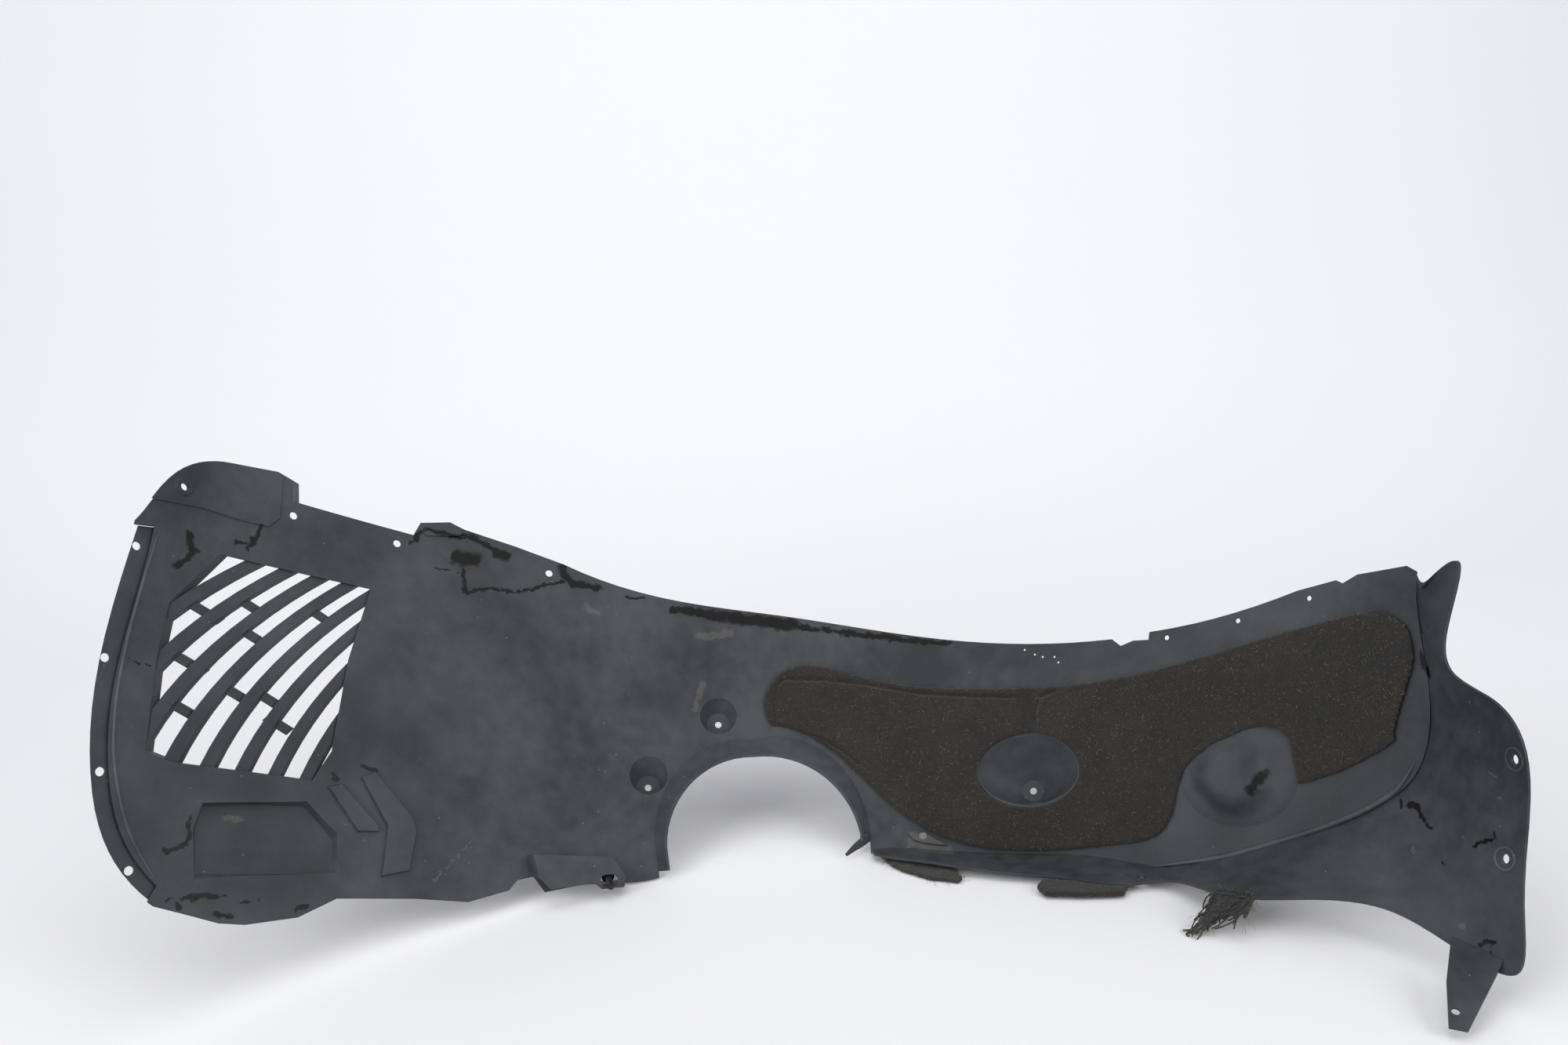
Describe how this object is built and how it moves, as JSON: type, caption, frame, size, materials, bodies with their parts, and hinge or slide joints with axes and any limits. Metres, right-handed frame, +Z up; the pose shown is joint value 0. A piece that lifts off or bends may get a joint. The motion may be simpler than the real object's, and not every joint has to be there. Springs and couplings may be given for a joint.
{
  "type": "wheel arch liner",
  "caption": "Thin moulded wheel arch liner, curved over the wheel, with a slatted vent, a strut cut-out with a turned lip, fixing recesses, a rear skirt and a felt noise pad.",
  "frame": {"origin": "middle of the bounding box in X and Y, at the height of the lowest point on which the liner rests", "axes": "+X along the arch from its front end to its rear end, +Y away from the wheel, +Z up with the liner standing on its inner edge and leaning back, as pictured"},
  "size_m": [1.1907, 0.5274, 0.4629],
  "materials": {
    "moulded_polypropylene": "satin, dusty, with dark wet smears",
    "noise_felt": "pressed needle felt with pale fibre specks",
    "rivet_nylon": "matt black",
    "torn_fleece": "torn fibres"
  },
  "bodies": {
    "root": {"liner_shell": "moulded_polypropylene", "fleece_pad": "noise_felt", "push_rivet_sleeve": "rivet_nylon", "push_rivet_pin": "rivet_nylon", "foam_strip": "noise_felt", "fleece_flap": "torn_fleece", "fleece_tuft": "torn_fleece"}
  },
  "joints": []
}
